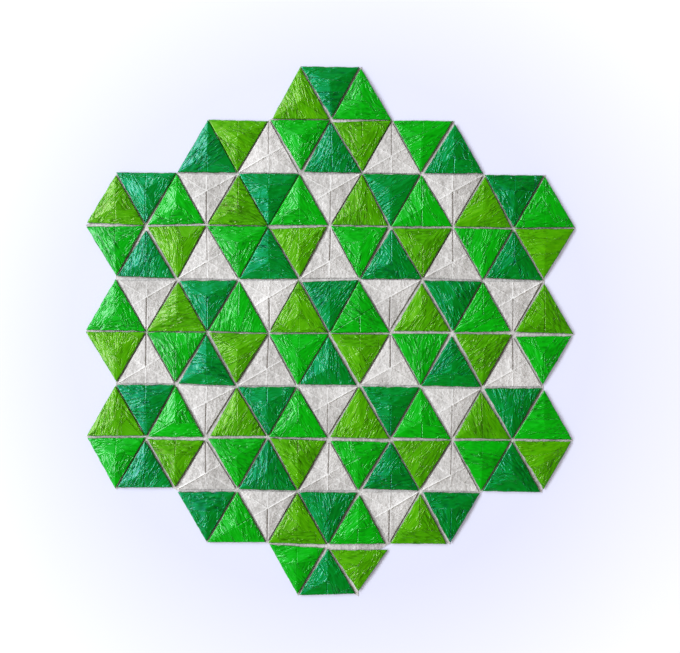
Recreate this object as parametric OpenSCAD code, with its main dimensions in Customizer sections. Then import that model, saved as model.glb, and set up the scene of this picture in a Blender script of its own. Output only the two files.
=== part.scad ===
// Origami tessellation: one sheet of paper, pleated so that a field of triangular tiles stands
// above narrow channels. Three creases cross each tile, and the painted tiles have puffed up along
// them into shallow pyramids, while the bare ones stayed nearly flat.
// The sheet lies on its back, with its painted face up and its middle on the origin.

/* [Tiling] */
// Distance between neighbouring corners of the triangle pattern
tile_pitch = 20; // [15:0.5:30]
// Rings of hexagons, six tiles each, around the middle hexagon
hex_rings = 2; // [1:1:3]

/* [Folds] */
// Width of the channel between two tiles whose corners have not drawn back, in the middle of the sheet
channel_w = 0.3; // [0.3:0.05:3]
// How far the paper turns in under the edge of a tile
tuck_depth = 2.3; // [1.5:0.1:3]
// Height of a tile's edge above the surface that the sheet lies on
edge_h = 0.7; // [0.6:0.1:3]
// Rise of the middle of a painted tile above its edges
painted_rise = 1.2; // [0.4:0.1:2.5]
// Lift of a painted tile's edges where the creases cross them
painted_crease_lift = 0.15; // [0:0.05:0.3]
// Rise of the middle of a bare tile above its edges
bare_rise = 0.3; // [0.1:0.1:2]
// Dip of a bare tile's edge where the upright crease crosses it
bare_crease_dip = 0.05; // [0:0.05:0.15]

/* [Paper] */
// Thickness of the paper
paper_t = 0.2; // [0.1:0.05:0.25]

/* [Hand folding] */
// How much wider the channels are at the loosely folded corner, and narrower at the opposite one
channel_spread = 0.2; // [0:0.05:0.25]
// Direction of the loosely folded corner, in degrees from +X
loose_side = -50; // [-180:5:180]
// Largest sideways error of a corner of the pattern, which the six tiles around it share
pattern_wobble = 0.45; // [0:0.05:0.6]
// Largest distance that a tile's corner has drawn back along each of its two edges
corner_back = 0.85; // [0:0.05:1.2]
// How far the seam across the lowest hexagon has come open at its +X end
seam_open = 1.5; // [0:0.1:2]
// Largest error in the height of a tile's middle and of its edges
height_wobble = 0.1; // [0:0.05:0.15]
// Which of the many uneven foldings is drawn
wobble_seed = 11; // [1:1:60]

/* [Hidden] */

// The six steps from a corner of the triangle pattern to its neighbours, counter-clockwise from +X.
// The same six lead from a hexagon to its neighbours, counted in hexagons.
STEPS = [[1, 0], [0, 1], [-1, 1], [-1, 0], [0, -1], [1, -1]];
CORNERS = [0, 1, 2];

// Distance from the middle of a channel to the middle of a tile
cell_r = tile_pitch / (2 * sqrt(3));

// Distance from the middle of the sheet to its furthest corners
sheet_r = tile_pitch * (sqrt(3) * hex_rings + 1);

// Slope of the paper that is tucked in under a tile, and the height of its back at the valley fold
tuck_slope = atan((edge_h - paper_t) / tuck_depth);
fold_back_h = paper_t * (1 + 1 / cos(tuck_slope) - tan(tuck_slope));

// Hexagons lie at every third corner of the pattern
function hex_corner(mn) = [mn[0] - mn[1], mn[0] + 2 * mn[1]];
function in_sheet(mn) = max(abs(mn[0]), abs(mn[1]), abs(mn[0] + mn[1])) <= hex_rings;

hexagons = [
    for (m = [-hex_rings:hex_rings], n = [-hex_rings:hex_rings])
        if (in_sheet([m, n])) [m, n]
];

// One tile: the three corners of its cell, and whether its outer edge is the sheet's own edge
function tile_cell(hexagon, k) =
    [for (step = [[0, 0], STEPS[k], STEPS[(k + 1) % 6]]) hex_corner(hexagon) + step];
tiles = [for (hexagon = hexagons, k = [0:5]) [tile_cell(hexagon, k), !in_sheet(hexagon + STEPS[k])]];

// The edge of a tile that lies across from its hexagon's middle
OUTER_EDGE = CORNERS[1];

// Paint goes on the six tiles around every corner that lies an even number of steps both ways
function is_even(ij) = ij[0] % 2 == 0 && ij[1] % 2 == 0;
function is_painted(cell) = len([for (corner = cell) if (is_even(corner)) corner]) > 0;

// An error sideways, from two numbers between -1 and 1
function sideways(way, size) = size * [cos(180 * way), sin(180 * way), 0];

// How far each corner of the pattern has strayed. The ones on the sheet's own edge keep their place.
furthest = 2 * hex_rings + 1;
strays = rands(-1, 1, 2 * pow(2 * furthest + 1, 2), wobble_seed + 1);
function tiles_at(ij) = len([for (tile = tiles, corner = tile[0]) if (corner == ij) corner]);
stray_corners = [
    for (i = [-furthest:furthest]) [
        for (j = [-furthest:furthest])
            let (n = 2 * ((2 * furthest + 1) * (i + furthest) + j + furthest))
            (tiles_at([i, j]) == 6 ? pattern_wobble : 0) * sideways(strays[n], strays[n + 1])
    ]
];

// Corner of the triangle pattern that lies i steps along +X and j steps at 60 degrees
function place(ij, z) =
    [tile_pitch * (ij[0] + ij[1] / 2), tile_pitch * sqrt(3) / 2 * ij[1], z]
    + stray_corners[ij[0] + furthest][ij[1] + furthest];

// Each tile's own errors, between -1 and 1: three corners along two edges, three creases and the middle
ERRORS_PER_TILE = 10;
errors = rands(-1, 1, ERRORS_PER_TILE * len(tiles), wobble_seed);
function error(tile, n) = errors[tile * ERRORS_PER_TILE + n];
function crease_error(tile, n) = height_wobble * error(tile, 6 + n);
function middle_error(tile) = height_wobble * error(tile, 9);

// How far a tile's corner has drawn back along its two edges, which is seldom much
function towards(a, b) = (b - a) / norm(b - a);
function drawn_back(tile, n) =
    let (corners = [for (corner = tiles[tile][0]) place(corner, 0)])
    corner_back * (
        pow(error(tile, 2 * n), 4) * towards(corners[n], corners[(n + 1) % 3])
        + pow(error(tile, 2 * n + 1), 4) * towards(corners[n], corners[(n + 2) % 3])
    );

// The seam that runs along X through the middle of the lowest hexagon: the tiles under it have sunk away
seam_middle = hex_corner([0, -hex_rings]);
function is_under_seam(cell) = cell[0] == seam_middle && min([for (corner = cell) corner[1]]) < seam_middle[1];
function sunk_away(cell, n) =
    is_under_seam(cell) && cell[n][1] == seam_middle[1]
        ? [0, -seam_open * (cell[n][0] - seam_middle[0] + 1) / 2, 0]
        : [0, 0, 0];

// How far a crease lifts edge n of a cell: the upright crease crosses the edges that lie along X
function is_upright_crease(cell, n) = cell[(n + 1) % 3][1] == cell[n][1];
function crease_lift(cell, n) =
    is_painted(cell) ? painted_crease_lift : is_upright_crease(cell, n) ? -bare_crease_dip : 0;

function middle(points) = (points[0] + points[1] + points[2]) / 3;
function up(z) = [0, 0, z];

// The cell's corners drawn in towards its middle, until its edges lie at u from the channels' middles
function drawn_in(cell, u, z) =
    let (corners = [for (corner = cell) place(corner, 0)], centre = middle(corners))
    [for (corner = corners) centre + (corner - centre) * (1 - u / cell_r) + up(z)];

// Distance from the middle of the channels to a tile's edge, which grows towards the loose corner
function channel_half(cell) =
    let (centre = middle([for (corner = cell) place(corner, 0)]))
    (channel_w + channel_spread * (centre * [cos(loose_side), sin(loose_side), 0]) / sheet_r) / 2;

// A tile's points: rings of three, on the paper's front from the tile's edge out to the channel and
// then the same on its back, and last the middle of its front and of its back
RINGS = [
    "edge", "crossing", "tuck", "floor",
    "back_edge", "back_crossing", "back_tuck", "back_fold", "back_floor"
];
function point(ring, n) = search([ring], RINGS)[0] * len(CORNERS) + n % 3;
function pair(ring, n) = [point(ring, n), point(ring, n + 1)];
front_middle = len(RINGS) * len(CORNERS);
back_middle = front_middle + 1;
points_per_tile = back_middle + 1;

function tile_points(tile) =
    let (
        cell = tiles[tile][0],
        edge_u = channel_half(cell),
        tuck_u = edge_u + tuck_depth,
        rise = (is_painted(cell) ? painted_rise : bare_rise) + middle_error(tile),
        top_slope = atan(rise / (cell_r - edge_u)),
        // The inner side of the fold along a tile's edge, where the two backs of the paper meet
        fold_in = paper_t * (1 / cos(top_slope) + 1 / cos(tuck_slope)) / (tan(top_slope) + tan(tuck_slope)),
        fold_in_h = edge_h + fold_in * tan(top_slope) - paper_t / cos(top_slope),
        shifts = [for (n = CORNERS) drawn_back(tile, n) + sunk_away(cell, n)],
        lifts = [for (n = CORNERS) up(crease_lift(cell, n) + crease_error(tile, n))],
        // Inside the fold the lift has begun to fade, as the paper under it lies level at the valley fold
        back_lifts = lifts * (1 - fold_in / tuck_depth),
        edge = drawn_in(cell, edge_u, edge_h) + shifts,
        back_edge = drawn_in(cell, edge_u + fold_in, fold_in_h) + shifts,
        top = middle(edge) + up(rise)
    )
    concat(
        edge,
        [for (n = CORNERS) (edge[n] + edge[(n + 1) % 3]) / 2 + lifts[n]],
        drawn_in(cell, tuck_u, paper_t),
        [for (corner = cell) place(corner, paper_t)],
        back_edge,
        [for (n = CORNERS) (back_edge[n] + back_edge[(n + 1) % 3]) / 2 + back_lifts[n]],
        drawn_in(cell, tuck_u + paper_t, fold_back_h),
        drawn_in(cell, tuck_u + paper_t, 0),
        [for (corner = cell) place(corner, 0)],
        [top, top - up(paper_t / cos(top_slope))]
    );

// Two triangles between two pairs of points, on the paper's front, and the same on its back
function front(a, b) = [[a[0], a[1], b[0]], [b[0], a[1], b[1]]];
function back(a, b) = front([a[0], b[0]], [a[1], b[1]]);

// The faces along edge n of a tile: over the top, in under the edge and out along the channel's floor.
// At the sheet's own edge the paper ends as a hem, and the channels beside it end cut off.
function edge_faces(n, hem) =
    let (
        edge = pair("edge", n),
        crossing = point("crossing", n),
        tuck = pair("tuck", n),
        floor = pair("floor", n),
        back_edge = pair("back_edge", n),
        back_crossing = point("back_crossing", n),
        back_tuck = pair("back_tuck", n),
        back_fold = pair("back_fold", n),
        back_floor = pair("back_floor", n)
    )
    concat(
        [[front_middle, crossing, edge[0]], [front_middle, edge[1], crossing]],
        [[edge[0], crossing, tuck[0]], [crossing, tuck[1], tuck[0]], [crossing, edge[1], tuck[1]]],
        [[back_middle, back_edge[0], back_crossing], [back_middle, back_crossing, back_edge[1]]],
        [[back_edge[0], back_tuck[0], back_crossing], [back_crossing, back_tuck[1], back_edge[1]]],
        [[back_crossing, back_tuck[0], back_tuck[1]]],
        back(back_tuck, back_fold),
        hem ? concat(
            front(tuck, back_fold),
            front([tuck[0], back_fold[0]], [floor[0], back_floor[0]]),
            back([tuck[1], back_fold[1]], [floor[1], back_floor[1]])
        ) : concat(
            front(tuck, floor),
            back(back_fold, back_floor)
        )
    );

module folded_sheet() {
    sheet_points = [for (tile = [0:len(tiles) - 1]) each tile_points(tile)];
    sheet_faces = [
        for (tile = [0:len(tiles) - 1], n = CORNERS)
            for (face = edge_faces(n, n == OUTER_EDGE && tiles[tile][1]))
                [for (index = face) index + tile * points_per_tile]
    ];
    color("whitesmoke") polyhedron(sheet_points, sheet_faces, convexity = 10);
}

folded_sheet();
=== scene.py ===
"""Looks of a folded paper tessellation: creased handmade paper, with three green paints on its tiles.

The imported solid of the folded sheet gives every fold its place. The paper piece is a copy of it with rounded
folds and pressed creases, and each paint is a film of brush strokes that lies on the tiles of its colour.
Shapes are worked out in millimetres, in the sheet's own frame, and put down in metres at the end.
"""

import logging
import math
from dataclasses import dataclass
from enum import Enum
from typing import Any

import bmesh
import bpy
import numpy as np
from bmesh.types import BMesh, BMFace, BMLayerItem, BMVert
from bpy.types import ID, Material, Mesh, Node, NodeSocket, NodeTree, Object
from mathutils import Matrix, Quaternion, Vector


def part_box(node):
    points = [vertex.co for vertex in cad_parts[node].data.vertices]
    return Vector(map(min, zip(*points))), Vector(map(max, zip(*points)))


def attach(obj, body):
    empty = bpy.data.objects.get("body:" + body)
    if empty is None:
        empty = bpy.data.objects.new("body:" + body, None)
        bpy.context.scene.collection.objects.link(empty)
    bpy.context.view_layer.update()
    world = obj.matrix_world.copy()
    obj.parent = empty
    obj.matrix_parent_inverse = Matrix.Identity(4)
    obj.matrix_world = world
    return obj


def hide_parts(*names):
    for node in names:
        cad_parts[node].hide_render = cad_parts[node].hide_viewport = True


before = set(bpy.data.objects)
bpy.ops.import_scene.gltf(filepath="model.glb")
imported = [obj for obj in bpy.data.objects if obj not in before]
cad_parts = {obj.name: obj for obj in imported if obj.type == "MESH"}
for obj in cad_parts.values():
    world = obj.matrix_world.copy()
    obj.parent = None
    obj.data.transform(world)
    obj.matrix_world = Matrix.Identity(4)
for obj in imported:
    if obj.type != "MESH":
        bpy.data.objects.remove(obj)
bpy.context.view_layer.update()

logging.basicConfig(level=logging.INFO, format="%(message)s")
log = logging.getLogger("tessellation")

MM = 0.001
SHEET = "folded_sheet"
SEED = 7
# Where the brush's and the cracks' own streams of chance start
BRUSH_STREAM = 1000
CRACK_STREAM = 2000
# Folds that turn by more degrees than this stay sharp when a mesh is shaded
SHARP_DEG = 50
# A tile's corners lie further from its middle than this share of the pitch, and its edges lie nearer
CORNER_REACH = 0.4
# How many waves make an uneven surface, and how far their sizes spread about the usual one
WAVE_COUNT = 14
WAVE_SPREAD = (0.7, 1.5)

# Arrays with one row for each point of a mesh
Points = np.ndarray
Values = np.ndarray
# Two numbers, such as the ends of a range
Pair = tuple[float, float]


def linear(colour: str) -> tuple[float, float, float, float]:
    """Turns an sRGB hex colour into the linear one that the sockets take.

    Args:
        colour: Six hex digits after a number sign.

    Returns:
        Red, green, blue and an alpha of 1.
    """
    parts = [int(colour[at : at + 2], 16) / 255 for at in (1, 3, 5)]
    red, green, blue = [c / 12.92 if c <= 0.04045 else ((c + 0.055) / 1.055) ** 2.4 for c in parts]
    return red, green, blue, 1.0


def per_metre(size_mm: float) -> float:
    """Gives the texture scale whose pattern repeats about every size_mm."""
    return 1 / (size_mm * MM)


def add(tree: NodeTree, kind: str, inputs: dict[Any, Any] | None = None, **settings: Any) -> Node:
    """Adds a node with its settings, values and links.

    Args:
        tree: The node tree that takes it.
        kind: The node's type, without the ShaderNode that it starts with.
        inputs: Each input by name or number, and its value or what feeds it: a socket, or a node's first one.
        settings: The node's own settings.

    Returns:
        The new node.
    """
    node = tree.nodes.new(f"ShaderNode{kind}")
    for name, value in settings.items():
        setattr(node, name, value)
    for name, value in (inputs or {}).items():
        if isinstance(value, Node):
            value = next(socket for socket in value.outputs if socket.enabled)
        if isinstance(value, NodeSocket):
            tree.links.new(value, node.inputs[name])
        else:
            node.inputs[name].default_value = value
    return node


def blank_material(name: str) -> tuple[Material, NodeTree]:
    """Makes a material with no nodes in it.

    Args:
        name: The material's name.

    Returns:
        The material and its node tree.
    """
    material = bpy.data.materials.new(name)
    material.use_nodes = True
    material.node_tree.nodes.clear()
    return material, material.node_tree


def pressed_line(tree: NodeTree, name: str, width_mm: float) -> Node:
    """Draws fine lines from a mesh's layers, which say how hard the nearest is pressed and how far off it is.

    Args:
        tree: The node tree that takes the nodes.
        name: The layers' name.
        width_mm: How far a line reaches to each side.

    Returns:
        The node that gives how hard each place is pressed.
    """
    away = add(tree, "Attribute", attribute_name=f"{name}_away").outputs["Fac"]
    fade = {"Value": away, "From Max": width_mm, "To Min": 1.0, "To Max": 0.0}
    line = add(tree, "MapRange", fade, interpolation_type="SMOOTHSTEP")
    press = add(tree, "Attribute", attribute_name=name).outputs["Fac"]
    return add(tree, "Math", {0: press, 1: line}, operation="MULTIPLY")


def smooth_step(values: Values, low: float, high: float) -> Values:
    """Rises smoothly from 0 at low to 1 at high."""
    share = np.clip((values - low) / (high - low), 0, 1)
    return share * share * (3 - 2 * share)


def undulation(points: Points, size: float, rng: np.random.Generator) -> Values:
    """Gives uneven waves with hollows and humps about as far apart as size.

    Args:
        points: Places in the sheet's plane.
        size: Usual distance from hump to hump.
        rng: Source of the waves' directions and phases.

    Returns:
        One height for each point, mostly between -1 and 1.
    """
    ways = rng.uniform(0, 2 * np.pi, WAVE_COUNT)
    rates = 2 * np.pi / (size * rng.uniform(*WAVE_SPREAD, WAVE_COUNT))
    phases = rng.uniform(0, 2 * np.pi, WAVE_COUNT)
    swing = points[:, :1] * np.cos(ways) + points[:, 1:2] * np.sin(ways)
    return np.cos(swing * rates + phases).sum(1) / math.sqrt(WAVE_COUNT)


class Coat(Enum):
    """What a tile is covered with."""

    BRIGHT = 0
    DARK = 1
    LIME = 2
    BARE = 3


class Crease(Enum):
    """The three creases that cross each tile, by their direction in degrees from +X."""

    RISING = 30
    UPRIGHT = 90
    FALLING = 150


# Heights of the creases in a bare tile, to a corner and to the middle of an edge. A groove is negative.
CREASE_HEIGHTS = {Crease.RISING: (0.22, 0.16), Crease.UPRIGHT: (-0.26, 0.15), Crease.FALLING: (0.11, 0.11)}


@dataclass(frozen=True)
class Tile:
    """One triangle of the pattern."""

    number: int
    centre: Pair
    coat: Coat


@dataclass(frozen=True)
class Tiling:
    """The pattern of triangles, in groups of six round the middle of each hexagon."""

    pitch: float
    rings: int = 2
    steps: tuple[tuple[int, int], ...] = ((1, 0), (0, 1), (-1, 1), (-1, 0), (0, -1), (1, -1))

    def place(self, corner: tuple[int, int]) -> np.ndarray:
        """Gives a corner of the pattern in millimetres."""
        return self.pitch * np.array([corner[0] + corner[1] / 2, corner[1] * math.sqrt(3) / 2])

    def coat(self, cell: list[tuple[int, int]]) -> Coat:
        """Gives a tile's coat: the paints take turns round every corner that is even both ways.

        Args:
            cell: The tile's three corners.

        Returns:
            Its coat, which is bare paper where no corner is even both ways.
        """
        centre = sum(self.place(corner) for corner in cell) / 3
        for corner in cell:
            if corner[0] % 2 == 0 and corner[1] % 2 == 0:
                away = centre - self.place(corner)
                turn = math.degrees(math.atan2(away[1], away[0]))
                return Coat(round((turn - 30) / 60) % 3)
        return Coat.BARE

    def tiles(self) -> list[Tile]:
        """Lists every tile of the sheet."""
        tiles = []
        span = range(-self.rings, self.rings + 1)
        hexagons = [(m, n) for m in span for n in span if abs(m + n) <= self.rings]
        for m, n in hexagons:
            for turn in range(6):
                reach = ((0, 0), self.steps[turn], self.steps[(turn + 1) % 6])
                cell = [(m - n + step[0], m + 2 * n + step[1]) for step in reach]
                centre = sum(self.place(corner) for corner in cell) / 3
                tiles.append(Tile(len(tiles), tuple(centre), self.coat(cell)))
        return tiles


@dataclass(frozen=True)
class TileTop:
    """The six facets on top of one folded tile."""

    tile: Tile
    middle: np.ndarray
    ring: np.ndarray

    def facets(self, points: Points) -> np.ndarray:
        """Numbers the facet that each point lies over, by its direction from the middle."""
        away = points[:, :2] - self.middle[:2]
        ends = self.ring[:, :2] - self.middle[:2]
        start = math.atan2(ends[0, 1], ends[0, 0])
        turns = (np.arctan2(ends[:, 1], ends[:, 0]) - start) % (2 * np.pi)
        turns[0] = 0
        ways = (np.arctan2(away[:, 1], away[:, 0]) - start) % (2 * np.pi)
        return np.searchsorted(turns, ways, "right") - 1

    def height(self, points: Points, facets: np.ndarray) -> Values:
        """Gives the height of the facets' planes.

        Args:
            points: Places over the tile.
            facets: The facet whose plane is meant at each of them.

        Returns:
            The height at each point.
        """
        heights = np.empty(len(points))
        for number in range(6):
            a = self.ring[number] - self.middle
            b = self.ring[(number + 1) % 6] - self.middle
            normal = np.cross(a, b)
            here = facets == number
            away = points[here, :2] - self.middle[:2]
            heights[here] = self.middle[2] - away @ normal[:2] / normal[2]
        return heights

    def edge(self, points: Points) -> tuple[Values, Points]:
        """Measures how far each point lies from the tile's edge.

        Args:
            points: Places over the tile.

        Returns:
            The distances, and the way out over the nearest edge.
        """
        nearest = np.full(len(points), np.inf)
        outward = np.zeros((len(points), 2))
        for number in range(6):
            a = self.ring[number, :2]
            run = self.ring[(number + 1) % 6, :2] - a
            way = np.array([run[1], -run[0]]) / np.hypot(*run)
            depth = -(points[:, :2] - a) @ way
            closer = depth < nearest
            nearest[closer] = depth[closer]
            outward[closer] = way
        return nearest, outward

    def creases(self, points: Points) -> list[tuple[np.ndarray, Values, Values]]:
        """Measures where points lie by each of the six creases that leave the tile's middle.

        Args:
            points: Places over the tile.

        Returns:
            For each crease, its run from the middle to the edge, and the distances along and across it.
        """
        away = points[:, :2] - self.middle[:2]
        creases = []
        for end in self.ring:
            run = end[:2] - self.middle[:2]
            way = run / np.hypot(*run)
            creases.append((run, away @ way, away @ np.array([-way[1], way[0]])))
        return creases


@dataclass
class FoldedTiles:
    """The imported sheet's tiles, found in its mesh."""

    node: Object
    tiles_across: int = 8
    merged_within: float = 0.002
    peak_within: float = 0.12

    def __post_init__(self) -> None:
        """Finds the six facets on top of each tile."""
        low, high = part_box(self.node.name)
        self.tiling = Tiling(pitch=(high[0] - low[0]) / MM / self.tiles_across)
        solid = self.copy()
        self.tops = [self._top(solid, tile) for tile in self.tiling.tiles()]
        solid.free()

    def copy(self) -> BMesh:
        """Copies the sheet's loose triangles, in millimetres, with the corners that they share merged."""
        solid = bmesh.new()
        solid.from_mesh(self.node.data)
        bmesh.ops.scale(solid, vec=(1 / MM,) * 3, verts=solid.verts)
        bmesh.ops.remove_doubles(solid, verts=solid.verts, dist=self.merged_within)
        return solid

    def peak(self, solid: BMesh, tile: Tile) -> BMVert:
        """Finds the middle of a tile's front, the highest point near the middle of its cell.

        Args:
            solid: A merged copy of the sheet.
            tile: The tile.

        Returns:
            The vertex where its six facets meet.
        """
        centre = Vector(tile.centre)
        reach = self.peak_within * self.tiling.pitch
        near = [v for v in solid.verts if (v.co.xy - centre).length < reach]
        return max(near, key=lambda v: v.co.z)

    def _top(self, solid: BMesh, tile: Tile) -> TileTop:
        """Reads a tile's six facets from a merged copy of the sheet."""
        peak = self.peak(solid, tile)
        rim = {v for face in peak.link_faces for v in face.verts} - {peak}
        ring = sorted(rim, key=lambda v: math.atan2(v.co.y - peak.co.y, v.co.x - peak.co.x))
        return TileTop(tile, np.array(peak.co), np.array([v.co for v in ring]))


@dataclass(frozen=True)
class HandmadePaper:
    """Heavy handmade paper: matte, a little uneven in tone, with fibres in it, and with a painted highlight
    and a painted shade on its creases.
    """

    name: str = "handmade_paper"
    light: str = "#E9E6E4"
    shade: str = "#AEABA8"
    fibre: str = "#9A948E"
    # The crease colours are a painted highlight on ridges and a painted shade in grooves
    crease_highlight: str = "#FCFBFA"
    crease_shade: str = "#78726C"
    patch_mm: float = 22.0
    mottle_mm: Pair = (1.6, 3.0)
    grain_mm: float = 0.7
    fibre_mm: float = 5.0
    crease_mm: float = 0.3
    relief_mm: float = 0.3
    press_mm: float = 0.12
    bump: float = 0.9
    streaks_deg: float = 40.0
    patch_share: float = 0.9
    tones: Pair = (1.12, 1.78)
    fibre_width: float = 0.012
    fibre_show: float = 0.35
    rough: Pair = (0.78, 0.95)
    ior: float = 1.45
    gloss: float = 0.35

    def make(self) -> Material:
        """Makes the paper's material."""
        material, tree = blank_material(self.name)
        place = add(tree, "TexCoord").outputs["Object"]
        patch = add(tree, "TexNoise", {"Vector": place, "Scale": per_metre(self.patch_mm), "Detail": 1.0})
        wide, long = [per_metre(size) for size in self.mottle_mm]
        lean = (0.0, 0.0, math.radians(self.streaks_deg))
        streaked = add(tree, "Mapping", {"Vector": place, "Rotation": lean, "Scale": (wide, long, wide)})
        mottle = add(tree, "TexNoise", {"Vector": streaked, "Scale": 1.0, "Detail": 4.0, "Roughness": 0.6})
        grain = add(
            tree,
            "TexNoise",
            {"Vector": place, "Scale": per_metre(self.grain_mm), "Detail": 2.0, "Roughness": 0.7},
        )
        tone = add(tree, "Math", {0: mottle, 1: grain}, operation="ADD")
        shading = add(tree, "Math", {0: patch, 1: self.patch_share, 2: tone}, operation="MULTIPLY_ADD")
        low, high = self.tones
        spread = add(tree, "MapRange", {"Value": shading, "From Min": low, "From Max": high})
        # A fibre shows as a thin line where a coarse pattern crosses its middle value.
        strands = add(
            tree,
            "TexNoise",
            {"Vector": place, "Scale": per_metre(self.fibre_mm), "Detail": 3.0, "Distortion": 1.5},
        )
        off = add(tree, "Math", {0: strands, 1: 0.5}, operation="SUBTRACT")
        off = add(tree, "Math", {0: off}, operation="ABSOLUTE")
        fibres = add(
            tree,
            "MapRange",
            {"Value": off, "From Max": self.fibre_width, "To Min": self.fibre_show, "To Max": 0.0},
        )
        # A crease is a fine line, with a painted highlight on its ridges and a painted shade in its grooves.
        crease = pressed_line(tree, "crease", self.crease_mm)
        ridge = add(tree, "Math", {0: crease, 1: 0.0}, operation="MAXIMUM")
        groove = add(tree, "Math", {0: crease, 1: -1.0}, operation="MULTIPLY")
        groove = add(tree, "Math", {0: groove, 1: 0.0}, operation="MAXIMUM")
        colour = linear(self.shade)
        # The last two layers paint a highlight onto crease ridges and a shade into crease grooves
        layers = ((spread, self.light), (fibres, self.fibre), (ridge, self.crease_highlight), (groove, self.crease_shade))
        for where, shade in layers:
            colour = add(tree, "Mix", {"Factor": where, "A": colour, "B": linear(shade)}, data_type="RGBA")
        bump = add(tree, "Bump", {"Height": tone, "Strength": self.bump, "Distance": self.relief_mm * MM})
        bump = add(
            tree,
            "Bump",
            {"Height": crease, "Strength": self.bump, "Distance": self.press_mm * MM, "Normal": bump},
        )
        rough = add(tree, "MapRange", {"Value": grain, "To Min": self.rough[0], "To Max": self.rough[1]})
        shader = add(
            tree,
            "BsdfPrincipled",
            {
                "Base Color": colour,
                "Roughness": rough,
                "Normal": bump,
                "IOR": self.ior,
                "Specular IOR Level": self.gloss,
            },
        )
        add(tree, "OutputMaterial", {"Surface": shader})
        return material


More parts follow.
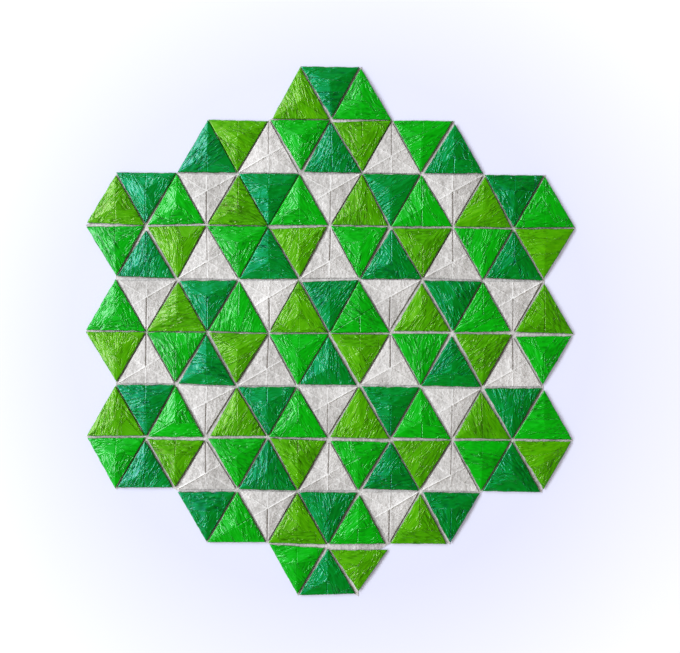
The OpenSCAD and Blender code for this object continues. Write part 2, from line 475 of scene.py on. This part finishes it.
@dataclass(frozen=True)
class BrushedAcrylic:
    """Acrylic paint laid on with a flat brush: a sheen on its streaks, and glints on flecks of stiff paint.

    Heights are shares of relief_mm, the levels are of the patterns' own noise, and the stops are of the tone.
    """

    name: str
    body: str
    # The furrow colour is partly the paint's own tone and partly a painted shade. The ridge colour is partly a
    # painted highlight
    furrow_tone_and_shade: str
    ridge: str
    sheen: str
    gloss: float = 0.75
    rough: Pair = (0.28, 0.46)
    bristle_mm: float = 0.56
    drag_mm: float = 2.6
    fleck_mm: Pair = (2.3, 0.7)
    fleck_shift: tuple[float, float, float] = (37.0, 11.0, 0.0)
    patch_mm: float = 4.5
    swell_mm: float = 3.6
    crack_mm: float = 0.3
    relief_mm: float = 0.34
    pressed: Pair = (0.5, 1.15)
    firmness: Pair = (0.35, 1.35)
    fleck_height: float = 0.55
    hollow_height: float = -0.35
    swell_height: float = 0.7
    stiff_levels: Pair = (0.4, 0.6)
    raised_levels: Pair = (0.56, 0.72)
    pitted_levels: Pair = (0.4, 0.28)
    # Share of the hair marks in the tone: lighter on raised hairs, which is a painted highlight, and darker
    # between them, which is a painted shade
    hair_tone_and_shade: float = 0.6
    # Painted shade in the pits and cracks
    hollow_shade: float = -0.16
    stops: tuple[float, float, float] = (0.05, 0.45, 0.95)
    ior: float = 1.5
    coat: float = 0.4
    coat_rough: float = 0.12

    def make(self) -> Material:
        """Makes the paint's material."""
        material, tree = blank_material(self.name)
        stroke = add(tree, "Attribute", attribute_name="stroke").outputs["Vector"]
        along = add(
            tree, "Mapping", {"Vector": stroke, "Scale": (1 / self.drag_mm, 1 / self.bristle_mm, 1.0)}
        )
        hairs = add(
            tree,
            "TexNoise",
            {"Vector": along, "Scale": 1.0, "Detail": 1.0, "Roughness": 0.3, "Distortion": 0.35},
        )
        # Stiff paint stands up in flecks and tears open in pits, in patches.
        scale = (1 / self.fleck_mm[0], 1 / self.fleck_mm[1], 1.0)
        along = add(tree, "Mapping", {"Vector": stroke, "Location": self.fleck_shift, "Scale": scale})
        flecks = add(tree, "TexNoise", {"Vector": along, "Scale": 1.0, "Detail": 1.0, "Roughness": 0.4})
        stiff = add(tree, "TexNoise", {"Vector": stroke, "Scale": 1 / self.patch_mm, "Detail": 1.0})
        low, high = self.stiff_levels
        stiff = add(tree, "MapRange", {"Value": stiff, "From Min": low, "From Max": high})
        spots = []
        for low, high in (self.raised_levels, self.pitted_levels):
            rise = {"Value": flecks, "From Min": low, "From Max": high}
            spot = add(tree, "MapRange", rise, interpolation_type="SMOOTHSTEP")
            spots.append(add(tree, "Math", {0: spot, 1: stiff}, operation="MULTIPLY"))
        raised, pitted = spots
        # The paint has cracked along some of the creases under it.
        crack = pressed_line(tree, "crack", self.crack_mm)
        hollow = add(tree, "Math", {0: pitted, 1: crack}, operation="ADD")
        # Each stroke has its own pressure, and its bristles marked stiff paint most deeply.
        pressure = add(tree, "SeparateXYZ", {0: stroke}).outputs["Z"]
        low, high = self.pressed
        depth = add(tree, "MapRange", {"Value": pressure, "From Min": -1.0, "To Min": low, "To Max": high})
        low, high = self.firmness
        firm = add(tree, "MapRange", {"Value": stiff, "To Min": low, "To Max": high})
        depth = add(tree, "Math", {0: depth, 1: firm}, operation="MULTIPLY")
        marks = add(tree, "Math", {0: hairs, 1: 0.5}, operation="SUBTRACT")
        relief = add(tree, "Math", {0: marks, 1: depth}, operation="MULTIPLY")
        # The paper under the paint has buckled as it dried, so the sheen lies in broad soft patches.
        place = add(tree, "TexCoord").outputs["Object"]
        swell = add(tree, "TexNoise", {"Vector": place, "Scale": per_metre(self.swell_mm), "Detail": 0.0})
        forms = ((raised, self.fleck_height), (hollow, self.hollow_height), (swell, self.swell_height))
        for form, height in forms:
            relief = add(tree, "Math", {0: form, 1: height, 2: relief}, operation="MULTIPLY_ADD")
        # The tone runs from the furrow colour through the body to the ridge colour. Besides each stroke's own
        # random tone, it paints shade into furrows, pits and cracks, and it paints highlight onto ridges and
        # raised hairs
        tone = add(tree, "Attribute", attribute_name="furrow_tone_and_shade").outputs["Fac"]
        for form, share in ((marks, self.hair_tone_and_shade), (hollow, self.hollow_shade)):
            tone = add(tree, "Math", {0: form, 1: share, 2: tone}, operation="MULTIPLY_ADD")
        colour = add(tree, "ValToRGB", {"Fac": tone})
        ramp = colour.color_ramp
        ramp.elements[0].position, middle, ramp.elements[1].position = self.stops
        ramp.elements[0].color = linear(self.furrow_tone_and_shade)
        ramp.elements[1].color = linear(self.ridge)
        ramp.elements.new(middle).color = linear(self.body)
        bump = add(tree, "Bump", {"Height": relief, "Strength": 1.0, "Distance": self.relief_mm * MM})
        rough = add(tree, "MapRange", {"Value": hairs, "To Min": self.rough[0], "To Max": self.rough[1]})
        shader = add(
            tree,
            "BsdfPrincipled",
            {
                "Base Color": colour,
                "Roughness": rough,
                "Normal": bump,
                "IOR": self.ior,
                "Specular IOR Level": self.gloss,
                "Specular Tint": linear(self.sheen),
                "Coat Weight": self.coat,
                "Coat Roughness": self.coat_rough,
                "Coat IOR": self.ior,
                "Coat Normal": bump,
            },
        )
        add(tree, "OutputMaterial", {"Surface": shader})
        return material


def to_scene(name: str, data: ID) -> Object:
    """Adds an object with this mesh, light or camera to the scene."""
    thing = bpy.data.objects.new(name, data)
    bpy.context.scene.collection.objects.link(thing)
    return thing


def to_mesh(name: str, solid: BMesh) -> Mesh:
    """Makes a mesh of a worked shape, and frees the shape."""
    mesh = bpy.data.meshes.new(name)
    solid.to_mesh(mesh)
    solid.free()
    return mesh


def put_down(name: str, mesh: Mesh, material: Material) -> Object:
    """Turns a mesh in millimetres into a finished piece of the object.

    Args:
        name: The piece's name.
        mesh: Its mesh.
        material: Its material.

    Returns:
        The piece, at the origin and in metres.
    """
    mesh.transform(Matrix.Scale(MM, 4))
    mesh.materials.append(material)
    mesh.shade_smooth()
    mesh.set_sharp_from_angle(angle=math.radians(SHARP_DEG))
    piece = to_scene(name, mesh)
    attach(piece, "root")
    return piece


def read_points(mesh: Mesh) -> Points:
    """Reads a mesh's points."""
    points = np.empty(len(mesh.vertices) * 3, np.float32)
    mesh.vertices.foreach_get("co", points)
    return points.reshape(-1, 3).astype(float)


def read_values(mesh: Mesh, name: str) -> Values:
    """Reads one of a mesh's number layers, and takes it off the mesh."""
    layer = mesh.attributes[name]
    values = np.empty(len(mesh.vertices), np.float32)
    layer.data.foreach_get("value", values)
    mesh.attributes.remove(layer)
    return values


def write_values(mesh: Mesh, name: str, values: Values) -> None:
    """Puts a layer with one number for each point on a mesh."""
    layer = mesh.attributes.new(name, "FLOAT", "POINT")
    layer.data.foreach_set("value", values.astype(np.float32))


@dataclass
class PaperSheet:
    """The folded sheet itself, with rounded folds and with pressed creases in the bare tiles."""

    tiles: FoldedTiles
    finish: HandmadePaper
    fold_round: float = 0.12
    fold_segments: int = 3
    cuts: int = 29
    crease_width: float = 0.3
    crease_start: float = 0.4
    crease_in_mesh: float = 0.5
    crease_luck: Pair = (0.6, 1.2)
    # How hard a crease's depth presses it. This sets its bump and also its painted highlight and shade
    press_gain: float = 3.6
    puff: float = 0.05
    wave: float = 0.05
    wave_size: float = 5.5
    fine_wave: float = 0.01
    fine_wave_size: float = 1.65
    edge_fade: float = 0.5

    def build(self) -> Object:
        """Builds the paper piece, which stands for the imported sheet."""
        solid = self.tiles.copy()
        number = solid.verts.layers.float.new("number")
        self._round_folds(solid)
        self._divide_bare_tops(solid, number)
        bmesh.ops.triangulate(solid, faces=[face for face in solid.faces if len(face.verts) > 4])
        mesh = to_mesh("paper", solid)
        self._press_creases(mesh)
        piece = put_down("paper", mesh, self.finish.make())
        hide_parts(SHEET)
        return piece

    def _round_folds(self, solid: BMesh) -> None:
        """Rounds the folds along the tiles' edges."""
        folds = set()
        for top in self.tiles.tops:
            peak = self.tiles.peak(solid, top.tile)
            folds |= {edge for face in peak.link_faces for edge in face.edges if peak not in edge.verts}
        bmesh.ops.bevel(
            solid,
            geom=list(folds),
            offset=self.fold_round,
            offset_type="OFFSET",
            affect="EDGES",
            segments=self.fold_segments,
            profile=0.5,
            material=-1,
            loop_slide=True,
        )

    def _divide_bare_tops(self, solid: BMesh, number: BMLayerItem) -> None:
        """Divides the facets of the bare tiles finely, and marks their points with the tile's number."""
        edges = set()
        for top in self.tiles.tops:
            if top.tile.coat is not Coat.BARE:
                continue
            peak = self.tiles.peak(solid, top.tile)
            for face in peak.link_faces:
                edges.update(face.edges)
                for vertex in face.verts:
                    vertex[number] = top.tile.number + 1
        bmesh.ops.subdivide_edges(solid, edges=list(edges), cuts=self.cuts, use_grid_fill=True)

    def _press_creases(self, mesh: Mesh) -> None:
        """Presses the creases into the bare tiles and lets their paper buckle a little."""
        points = read_points(mesh)
        owners = np.rint(read_values(mesh, "number")).astype(int)
        press = np.zeros(len(points))
        away = np.full(len(points), self.tiles.tiling.pitch)
        for top in self.tiles.tops:
            here = owners == top.tile.number + 1
            if here.any():
                relief, press[here], away[here] = self._relief(top, points[here])
                points[here, 2] += relief
        mesh.vertices.foreach_set("co", points.astype(np.float32).ravel())
        # The crease layer also sets the paper's painted highlight on ridges and painted shade in grooves
        write_values(mesh, "crease", press)
        write_values(mesh, "crease_away", away)

    def _relief(self, top: TileTop, points: Points) -> tuple[Values, Values, Values]:
        """Gives the height of one bare tile's creases and buckles.

        Args:
            top: The tile's facets.
            points: Places on them.

        Returns:
            The height to add at each point, how hard its nearest crease is pressed, from -1 for a groove to 1
            for a ridge, and how far off that crease is.
        """
        rng = np.random.default_rng([SEED, top.tile.number])
        press = np.zeros(len(points))
        nearest = np.full(len(points), np.inf)
        relief = self.wave * undulation(points, self.wave_size, rng)
        relief += self.fine_wave * undulation(points, self.fine_wave_size, rng)
        for run, along, across in top.creases(points):
            turn = round(math.degrees(math.atan2(run[1], run[0])) / 30) * 30
            to_corner, to_edge = CREASE_HEIGHTS[Crease(turn % 180)]
            long = np.hypot(*run) > CORNER_REACH * self.tiles.tiling.pitch
            depth = (to_corner if long else to_edge) * rng.uniform(*self.crease_luck)
            on = self.crease_in_mesh * smooth_step(along, 0, self.crease_start) * depth
            relief += on * np.exp(-((across / self.crease_width) ** 2))
            far = np.hypot(np.minimum(along, 0), across)
            closer = far < nearest
            nearest[closer] = far[closer]
            press[closer] = np.clip(self.press_gain * depth, -1, 1)
        edge, _ = top.edge(points)
        return self.puff * edge + relief * smooth_step(edge, 0.0, self.edge_fade), press, nearest


class Manner(Enum):
    """How the brush was led over a tile."""

    ALONG_EDGES = 0
    SWEPT = 1
    FANNED = 2
    CURVED = 3


@dataclass(frozen=True)
class Stroke:
    """One pull of a flat brush over a tile."""

    origin: Pair
    way: float
    bend: float
    half_width: float
    half_length: float
    load: float
    tone: float
    seed: int
    side_fade: float = 0.35
    end_fade: float = 0.8
    lane_gap: float = 0.8
    ridge_width: Pair = (0.22, 0.36)
    dab_area: float = 2.4
    dab_length: Pair = (0.45, 1.6)
    bead_width: float = 0.24
    laid: float = 0.35

    def lie(self, points: Points) -> tuple[Values, Values]:
        """Measures where points lie along and across the stroke.

        Args:
            points: Places on the tile, from its middle.

        Returns:
            The distances along and across it.
        """
        away = points - np.array(self.origin)
        c, s = math.cos(self.way), math.sin(self.way)
        along = away[:, 0] * c + away[:, 1] * s
        across = away[:, 1] * c - away[:, 0] * s
        return along, across - 0.5 * self.bend * along**2

    def cover(self, along: Values, across: Values) -> Values:
        """Gives how far the stroke covers what lies under it, from 0 to 1."""
        side = smooth_step(self.half_width - np.abs(across), 0, self.side_fade)
        return side * smooth_step(self.half_length - np.abs(along), 0, self.end_fade)

    def ridges(self, along: Values, across: Values) -> Values:
        """Gives the ridges that its bristles left: a few long ones, and many short ones that break off.

        Args:
            along: Distance along the stroke.
            across: Distance across it.

        Returns:
            The ridges' share of their full height.
        """
        rng = np.random.default_rng([SEED, self.seed])
        count = int(2 * self.half_width / self.lane_gap)
        lanes = np.linspace(-self.half_width, self.half_width, count) + rng.uniform(-0.25, 0.25, count)
        widths = rng.uniform(*self.ridge_width, count)
        heights = 1.2 * rng.uniform(-0.6, 1.0, count) ** 3
        rhythms = rng.uniform(0.4, 1.3, count)
        phases = rng.uniform(0, 2 * np.pi, count)
        drift = 0.22 * np.sin(along * 0.45 + phases[0]) + 0.08 * np.sin(along * 1.7 + phases[1])
        lane = across + drift
        crests = np.exp(-((lane[:, None] - lanes) / widths) ** 2)
        broken = 0.5 + 0.5 * np.sin(along[:, None] * rhythms + phases)
        long_ridges = (crests * heights * broken).sum(1)
        count = int(4 * self.half_width * self.half_length / self.dab_area)
        spots = rng.uniform(-1, 1, (2, count)) * np.array([[self.half_length], [self.half_width]])
        lengths = rng.uniform(*self.dab_length, count)
        widths = rng.uniform(*self.ridge_width, count)
        heights = rng.choice([-1.0, 1.0], count) * rng.uniform(0.1, 1.2, count)
        slants = rng.normal(0, 0.12, count)
        ahead = along[:, None] - spots[0]
        aside = lane[:, None] - spots[1] - slants * ahead
        dabs = np.exp(-((ahead / lengths) ** 2) - (aside / widths) ** 2)
        return self.laid + long_ridges + (dabs * heights).sum(1)

    def bead(self, along: Values, across: Values) -> Values:
        """Gives the bead of paint that is pushed out along the stroke's sides, from 0 to 1."""
        side = np.exp(-(((np.abs(across) - self.half_width) / self.bead_width) ** 2))
        return side * smooth_step(self.half_length - np.abs(along), 0, self.end_fade)


@dataclass
class PaintFilm:
    """The paint of one colour, on all the tiles that have it."""

    tiles: FoldedTiles
    coat: Coat
    finish: BrushedAcrylic
    cuts: int = 29
    thickness: float = 0.14
    thinnest: float = 0.03
    ridge_height: float = 0.042
    bead_height: float = 0.04
    sunk: float = 0.11
    sunk_inset: float = 0.5
    lip: float = 0.3
    lip_drop: float = 0.12
    lip_out: float = 0.02
    lip_fade: float = 0.5
    lip_turn: float = 0.42
    ragged: Pair = (0.05, 0.025)
    ragged_size: Pair = (5.0, 1.2)
    uneven_size: float = 6.0
    manner_shares: tuple[float, ...] = (0.3, 0.34, 0.18, 0.18)
    brush_load: Pair = (0.7, 1.35)
    sweep_reach: float = 8.0
    sweep_gap: Pair = (3.6, 5.0)
    fan_turns: tuple[float, ...] = (-0.42, 0.0, 0.42)
    curve_reaches: tuple[float, ...] = (0.55, 0.05, -0.4)
    curve_bend: float = 0.09
    crack_openings: tuple[float, ...] = (0.0, 0.4, 1.0)
    crack_odds: tuple[float, ...] = (0.78, 0.18, 0.04)
    crack_odds_upright: tuple[float, ...] = (0.4, 0.38, 0.22)
    wrinkle_width: float = 0.22

    def build(self) -> Object:
        """Builds the film: the tiles' tops lifted off the paper, divided and brushed."""
        mesh = self._blank_film()
        points = read_points(mesh)
        owners = np.rint(read_values(mesh, "number")).astype(int)
        on_top = read_values(mesh, "film") > 0.5
        strokes = np.zeros((len(points), 3))
        tone_and_shade_levels = np.zeros(len(points))
        cracks = np.zeros(len(points))
        away = np.full(len(points), self.tiles.tiling.pitch)
        for top in self.tiles.tops:
            if top.tile.coat is self.coat:
                here = on_top & (owners == top.tile.number)
                cracks[here], away[here] = self._cracks(top, points[here])
                points[here], strokes[here], tone_and_shade_levels[here] = self._brush(top, points[here])
        mesh.vertices.foreach_set("co", points.astype(np.float32).ravel())
        layer = mesh.attributes.new("stroke", "FLOAT_VECTOR", "POINT")
        layer.data.foreach_set("vector", strokes.astype(np.float32).ravel())
        # The tone level paints shade into the furrows and highlight onto the ridges
        write_values(mesh, "furrow_tone_and_shade", tone_and_shade_levels)
        write_values(mesh, "crack", cracks)
        write_values(mesh, "crack_away", away)
        return put_down(self.finish.name, mesh, self.finish.make())

    def _blank_film(self) -> Mesh:
        """Makes the closed film before brushing: fine facets on top, and a plain base sunk in the paper."""
        solid = self.tiles.copy()
        number = solid.verts.layers.float.new("number")
        film = solid.verts.layers.float.new("film")
        wanted = set()
        for top in self.tiles.tops:
            if top.tile.coat is self.coat:
                faces = self.tiles.peak(solid, top.tile).link_faces
                wanted.update(faces)
                for vertex in {v for face in faces for v in face.verts}:
                    vertex[number] = top.tile.number
        bmesh.ops.delete(solid, geom=[face for face in solid.faces if face not in wanted], context="FACES")
        base = list(solid.verts)
        grown = bmesh.ops.extrude_face_region(solid, geom=list(solid.faces), use_keep_orig=True)["geom"]
        upper = [item for item in grown if isinstance(item, BMFace)]
        for vertex in {v for face in upper for v in face.verts}:
            vertex[film] = 1.0
        for vertex in base:
            middle = Vector(self.tiles.tops[round(vertex[number])].middle)
            away = (vertex.co - middle).xy
            if away.length > 1:
                vertex.co.xy -= away.normalized() * self.sunk_inset
            vertex.co.z -= self.sunk
        bmesh.ops.recalc_face_normals(solid, faces=solid.faces)
        edges = {edge for face in upper for edge in face.edges}
        bmesh.ops.subdivide_edges(solid, edges=list(edges), cuts=self.cuts, use_grid_fill=True)
        bmesh.ops.triangulate(solid, faces=[face for face in solid.faces if len(face.verts) > 3])
        return to_mesh(self.finish.name, solid)

    def _strokes(self, top: TileTop, rng: np.random.Generator) -> list[Stroke]:
        """Lays out the strokes on one tile, first to last.

        Args:
            top: The tile's facets.
            rng: Source of the painter's choices.

        Returns:
            The strokes.
        """
        manner = rng.choice(list(Manner), p=self.manner_shares)
        corners = [p[:2] - top.middle[:2] for p in top.ring]
        corners = [c for c in corners if np.hypot(*c) > CORNER_REACH * self.tiles.tiling.pitch]
        load = rng.uniform(*self.brush_load)
        strokes = [self._stroke((0.0, 0.0), rng.uniform(0, np.pi), 0.0, 14.0, load, rng)]
        first = rng.integers(3)
        if manner is Manner.SWEPT:
            run = corners[first] - corners[first - 1]
            way = math.atan2(run[1], run[0]) + rng.normal(0, 0.2)
            for shift in np.arange(-self.sweep_reach, self.sweep_reach + 0.1, rng.uniform(*self.sweep_gap)):
                origin = (-math.sin(way) * shift, math.cos(way) * shift)
                strokes.append(self._stroke(origin, way + rng.normal(0, 0.1), 0.02, 12.0, load, rng))
        else:
            run = corners[first]
            way = math.atan2(run[1], run[0]) + rng.normal(0, 0.3)
            strokes.append(self._stroke((0.0, 0.0), way, 0.03, 10.0, load, rng))
        if manner is Manner.FANNED:
            corner = corners[first]
            inward = math.atan2(-corner[1], -corner[0])
            for turn in rng.permutation(self.fan_turns):
                way = inward + turn + rng.normal(0, 0.08)
                origin = tuple(corner * 0.9 + 8 * np.array([math.cos(way), math.sin(way)]))
                strokes.append(self._stroke(origin, way, 0.03, 9.0, load, rng))
        if manner is Manner.CURVED:
            corner = corners[first]
            for reach in rng.permutation(self.curve_reaches):
                way = math.atan2(corner[1], corner[0]) + np.pi / 2
                origin = tuple(corner * reach)
                strokes.append(self._stroke(origin, way, 0.0, 11.0, load, rng, bend=self.curve_bend))
        if manner in (Manner.ALONG_EDGES, Manner.CURVED):
            for number in rng.permutation(3):
                a, b = corners[number - 1], corners[number]
                run = b - a
                origin = (a + b) / 2 * rng.uniform(0.5, 0.66)
                way = math.atan2(run[1], run[0]) + rng.normal(0, 0.08)
                strokes.append(self._stroke(tuple(origin), way, 0.02, rng.uniform(5.5, 8.5), load, rng))
        return strokes

    def _stroke(
        self,
        origin: Pair,
        way: float,
        wander: float,
        half_length: float,
        load: float,
        rng: np.random.Generator,
        bend: float = 0.0,
    ) -> Stroke:
        """Makes one stroke with a width, load and tone of its own.

        Args:
            origin: Its middle, from the middle of the tile.
            way: Its direction.
            wander: How much it may curve by chance.
            half_length: Half its length.
            load: How much paint the brush held.
            rng: Source of chance.
            bend: How much it curves by intent.

        Returns:
            The stroke.
        """
        return Stroke(
            origin=origin,
            way=way,
            bend=bend + rng.normal(0, 1) * wander,
            half_width=rng.uniform(2.2, 3.6),
            half_length=half_length * rng.uniform(0.85, 1.1),
            load=load * rng.uniform(0.6, 1.3),
            tone=rng.uniform(-1, 1),
            seed=int(rng.integers(1 << 30)),
        )

    def _brush(self, top: TileTop, points: Points) -> tuple[Points, Points, Values]:
        """Brushes one tile.

        Args:
            top: The tile's facets.
            points: The film's points on them.

        Returns:
            The points brushed, where each lies along and across its last stroke with that stroke's tone, and
            its tone level, which is low in furrows and high on ridges and so paints shade and highlight into
            the colour.
        """
        rng = np.random.default_rng([SEED, BRUSH_STREAM + top.tile.number])
        flat = points[:, :2] - top.middle[:2]
        height = np.zeros(len(points))
        level = np.full(len(points), 0.5)
        lie = np.zeros((len(points), 3))
        for stroke in self._strokes(top, rng):
            along, across = stroke.lie(flat)
            cover = stroke.cover(along, across)
            ridges = np.zeros(len(points))
            wet = cover > 0
            ridges[wet] = stroke.ridges(along[wet], across[wet])
            height += cover * (stroke.load * self.ridge_height * ridges - height)
            height += self.bead_height * stroke.load * stroke.bead(along, across)
            # A stroke sets the tone level lower in its furrows and higher on its ridges, which is a painted
            # shade and highlight, shifted by the stroke's own random tone
            level += cover * (0.42 + 0.16 * np.clip(ridges, -0.8, 1.4) + 0.1 * stroke.tone - level)
            over = cover > 0.5
            lie[over] = np.c_[along, across, np.full(len(along), stroke.tone)][over]
        height *= 0.75 + 0.35 * undulation(points, self.uneven_size, rng)
        height += self._lumps(flat, rng)
        facets = top.facets(points)
        edge, outward = top.edge(points)
        ragged = sum(far * undulation(points, size, rng) for far, size in zip(self.ragged, self.ragged_size))
        out = (self.lip_out + ragged) * np.exp(-np.maximum(edge, 0) / self.lip_fade)
        brushed = points.copy()
        brushed[:, :2] += outward * out[:, None]
        share = np.clip(edge / self.lip, 0, 1)
        rounding = np.sqrt(1 - (1 - share) ** 2)
        film = np.maximum(self.thickness + height, self.thinnest) * rounding
        film -= self.lip_drop * (1 - smooth_step(share, 0, self.lip_turn))
        brushed[:, 2] = top.height(brushed, facets) + film
        return brushed, lie, level

    def _cracks(self, top: TileTop, points: Points) -> tuple[Values, Values]:
        """Chooses which of the creases under the paint have cracked it.

        Args:
            top: The tile's facets.
            points: The film's points on them.

        Returns:
            How far the nearest crease's crack has opened, from 0 to 1, and how far off it is.
        """
        rng = np.random.default_rng([SEED, CRACK_STREAM + top.tile.number])
        opened = np.zeros(len(points))
        nearest = np.full(len(points), np.inf)
        for run, along, across in top.creases(points):
            far = np.hypot(np.minimum(along, 0), across)
            closer = far < nearest
            nearest[closer] = far[closer]
            upright = abs(run[0]) < 0.3 * abs(run[1])
            odds = self.crack_odds_upright if upright else self.crack_odds
            opened[closer] = rng.choice(self.crack_openings, p=odds)
        return opened, nearest

    def _lumps(self, flat: Points, rng: np.random.Generator) -> Values:
        """Gives the crumbs and wrinkles in the dried paint.

        Args:
            flat: Places on the tile, from its middle.
            rng: Source of chance.

        Returns:
            Their height.
        """
        height = np.zeros(len(flat))
        for _ in range(rng.integers(4, 10)):
            spot = rng.uniform(-8, 8, 2)
            size = rng.uniform(0.25, 0.5)
            far = ((flat - spot) ** 2).sum(1)
            height += rng.uniform(0.03, 0.09) * np.exp(-far / size**2)
        for _ in range(rng.integers(1, 4)):
            wrinkle = self._stroke(tuple(rng.uniform(-5, 5, 2)), rng.uniform(0, np.pi), 0.12, 3.0, 1.0, rng)
            along, across = wrinkle.lie(flat)
            on = smooth_step(wrinkle.half_length - np.abs(along), 0, 1.2)
            height += rng.uniform(0.03, 0.08) * on * np.exp(-((across / self.wrinkle_width) ** 2))
        return height


@dataclass
class Studio:
    """Floor, light and camera. The window stands at the left, and a dim warm room fills the shadows."""

    window_way: float = 167.0
    window_rise: float = 42.0
    window_far: float = 0.95
    window_size: Pair = (1.4, 0.36)
    window_power: float = 17.2
    window_colour: str = "#F1F7FD"
    room_colour: str = "#FFE9D2"
    room_low: float = 0.6
    room_high: float = 0.05
    room_shine: float = 0.15
    backdrop_colour: str = "#F4F6FF"
    floor_colour: str = "#CED0E1"
    floor_glow: str = "#E6E6FF"
    floor_half: float = 1.5
    floor_drop_mm: float = 0.05
    rim_reach: Pair = (0.085, 0.15)
    rim_glow: Pair = (0.15, 0.43)
    side_reach: Pair = (-0.09, 0.1)
    side_glow: Pair = (0.0, 0.17)
    far_reach: Pair = (0.2, 1.2)
    far_glow: Pair = (0.0, 0.5)
    lens_mm: float = 50.0
    sensor_mm: float = 36.0
    clip: Pair = (0.01, 20.0)
    camera_turn_deg: tuple[float, float, float] = (1.19, -0.49, -0.37)
    camera_shift_mm: tuple[float, float, float] = (-3.47, -2.06, -309.2)

    def build(self) -> None:
        """Sets up everything round the object."""
        self._floor()
        self._window()
        self._room()
        self._camera()
        bpy.context.scene.view_settings.view_transform = "Standard"

    def _floor(self) -> None:
        """Lays a pale floor just under the sheet. It is paler away from the window, and fades out far off."""
        material, tree = blank_material("pale_floor")
        place = add(tree, "TexCoord").outputs["Object"]
        reach = add(tree, "VectorMath", {0: place}, operation="LENGTH").outputs["Value"]
        side = add(tree, "SeparateXYZ", {0: place}).outputs["X"]
        glow = 0.0
        for where, ends in (
            (reach, self.rim_reach + self.rim_glow),
            (side, self.side_reach + self.side_glow),
            (reach, self.far_reach + self.far_glow),
        ):
            span = dict(zip(("From Min", "From Max", "To Min", "To Max"), ends))
            more = add(tree, "MapRange", {"Value": where, **span})
            glow = add(tree, "Math", {0: more, 1: glow}, operation="ADD")
        path = add(tree, "LightPath").outputs
        seen = path["Is Camera Ray"]
        for ray in ("Is Glossy Ray", "Is Transmission Ray"):
            seen = add(tree, "Math", {0: seen, 1: path[ray]}, operation="MAXIMUM")
        glow = add(tree, "Math", {0: glow, 1: seen}, operation="MULTIPLY")
        diffuse = add(tree, "BsdfDiffuse", {"Color": linear(self.floor_colour)})
        shine = add(tree, "Emission", {"Color": linear(self.floor_glow), "Strength": glow})
        both = add(tree, "AddShader", {0: diffuse, 1: shine})
        add(tree, "OutputMaterial", {"Surface": both})
        plane = bmesh.new()
        bmesh.ops.create_grid(plane, x_segments=1, y_segments=1, size=self.floor_half)
        bmesh.ops.translate(plane, vec=(0, 0, -self.floor_drop_mm * MM), verts=plane.verts)
        mesh = to_mesh("floor", plane)
        mesh.materials.append(material)
        floor = to_scene("floor", mesh)

    def _window(self) -> None:
        """Hangs a large soft light at the left, turned to the sheet."""
        data = bpy.data.lights.new("window", "AREA")
        data.shape = "RECTANGLE"
        data.size, data.size_y = self.window_size
        data.energy = self.window_power
        data.color = linear(self.window_colour)[:3]
        lamp = to_scene("window", data)
        way, rise = math.radians(self.window_way), math.radians(self.window_rise)
        back = Vector((math.cos(way) * math.cos(rise), math.sin(way) * math.cos(rise), math.sin(rise)))
        lamp.location = back * self.window_far
        lamp.rotation_mode = "QUATERNION"
        lamp.rotation_quaternion = (-back).to_track_quat("-Z", "Y")

    def _room(self) -> None:
        """Fills the world with the room's warm light, which is dim overhead."""
        world = bpy.data.worlds.new("room")
        world.use_nodes = True
        tree = world.node_tree
        tree.nodes.clear()
        way = add(tree, "TexCoord").outputs["Generated"]
        rise = add(tree, "SeparateXYZ", {0: way}).outputs["Z"]
        level = add(tree, "MapRange", {"Value": rise, "To Min": self.room_low, "To Max": self.room_high})
        path = add(tree, "LightPath").outputs
        glossy = path["Is Glossy Ray"]
        shine = add(tree, "MapRange", {"Value": glossy, "To Min": 1.0, "To Max": self.room_shine})
        level = add(tree, "Math", {0: level, 1: shine}, operation="MULTIPLY")
        light = add(tree, "Background", {"Color": linear(self.room_colour), "Strength": level})
        pale = add(tree, "Background", {"Color": linear(self.backdrop_colour), "Strength": 1.0})
        both = add(tree, "MixShader", {0: path["Is Camera Ray"], 1: light, 2: pale})
        add(tree, "OutputWorld", {"Surface": both})
        bpy.context.scene.world = world

    def _camera(self) -> None:
        """Puts the camera where it looks nearly straight down on the sheet."""
        data = bpy.data.cameras.new("camera")
        data.lens = self.lens_mm
        data.sensor_width = self.sensor_mm
        data.clip_start, data.clip_end = self.clip
        camera = to_scene("camera", data)
        turn = Vector([math.radians(a) for a in self.camera_turn_deg])
        seen = Quaternion(turn.normalized(), turn.length).to_matrix()
        camera.rotation_mode = "QUATERNION"
        camera.rotation_quaternion = seen.transposed().to_quaternion()
        camera.location = -(seen.transposed() @ Vector(self.camera_shift_mm)) * MM
        bpy.context.scene.camera = camera


# The colours are those of the paint's body, its furrows, its ridges and its sheen. The furrow colour is partly
# a painted shade, and the ridge colour is partly a painted highlight.
PAINTS = {
    Coat.BRIGHT: BrushedAcrylic("bright_green_paint", "#00AC01", "#005A01", "#03C504", "#8EC4AE", gloss=0.8),
    Coat.DARK: BrushedAcrylic(
        "dark_green_paint", "#008203", "#003C01", "#029A10", "#48F0FF", gloss=0.95, rough=(0.34, 0.5)
    ),
    Coat.LIME: BrushedAcrylic("lime_green_paint", "#44A300", "#1A5200", "#5EBA00", "#D0BC70"),
}


def main() -> None:
    """Builds the paper, the three paints and the studio round them, and logs how many faces each piece has."""
    tiles = FoldedTiles(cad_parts[SHEET])
    films = [PaintFilm(tiles, coat, paint) for coat, paint in PAINTS.items()]
    for part in (PaperSheet(tiles, HandmadePaper()), *films):
        piece = part.build()
        log.info("%s: %d faces", piece.name, len(piece.data.polygons))
    Studio().build()


if __name__ == "__main__":
    main()
